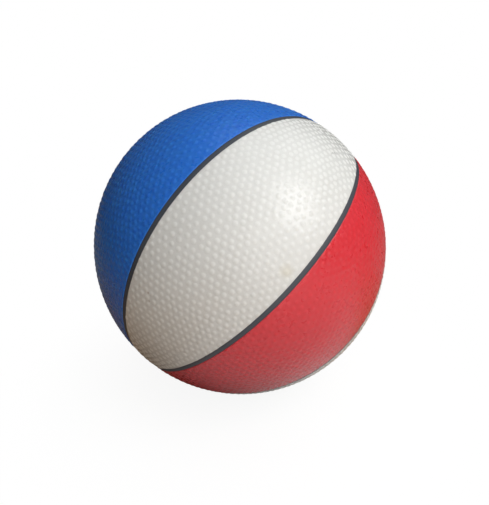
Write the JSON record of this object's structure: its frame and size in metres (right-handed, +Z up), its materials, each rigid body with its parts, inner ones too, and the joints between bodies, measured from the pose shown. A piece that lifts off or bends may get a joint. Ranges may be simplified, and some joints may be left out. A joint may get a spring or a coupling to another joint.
{
  "type": "mini basketball",
  "caption": "Hollow rubber mini basketball with pebbled blue, white and red panels parted by dark meridian seams, and a needle valve for inflating it.",
  "frame": {"origin": "centre of the ball", "axes": "+Z up as the ball lies in the picture, -Y towards the camera; the pole with the valve points along (0.652, 0.430, 0.625)"},
  "size_m": [0.178, 0.1776, 0.1776],
  "materials": {
    "panel_blue": "semi-gloss, pebbled",
    "panel_white": "semi-gloss, pebbled",
    "panel_red": "semi-gloss, pebbled",
    "seam_rubber": "smooth satin",
    "valve_rubber": "smooth satin",
    "carcass_rubber": "matt",
    "winding_thread": "matt thread",
    "bladder_rubber": "smooth satin"
  },
  "bodies": {
    "ball": {"bladder": "bladder_rubber", "thread_winding": "winding_thread", "carcass": "carcass_rubber", "valve_housing": "bladder_rubber", "valve_collar": "seam_rubber", "pole_button": "seam_rubber", "panel_1_blue": "panel_blue", "panel_2_white": "panel_white", "panel_3_red": "panel_red", "panel_4_white": "panel_white", "panel_5_blue": "panel_blue", "panel_6_white": "panel_white", "panel_7_red": "panel_red", "panel_8_white": "panel_white", "seam_strip_1": "seam_rubber", "seam_strip_2": "seam_rubber", "seam_strip_3": "seam_rubber", "seam_strip_4": "seam_rubber", "seam_strip_5": "seam_rubber", "seam_strip_6": "seam_rubber", "seam_strip_7": "seam_rubber", "seam_strip_8": "seam_rubber"},
    "plug": {"valve_plug": "valve_rubber"}
  },
  "joints": [
    {"name": "valve_plug_pull", "type": "slide", "parent": "ball", "child": "plug", "axis": [0.6515, 0.4296, 0.6252], "range_m": [0, 0.02]}
  ]
}
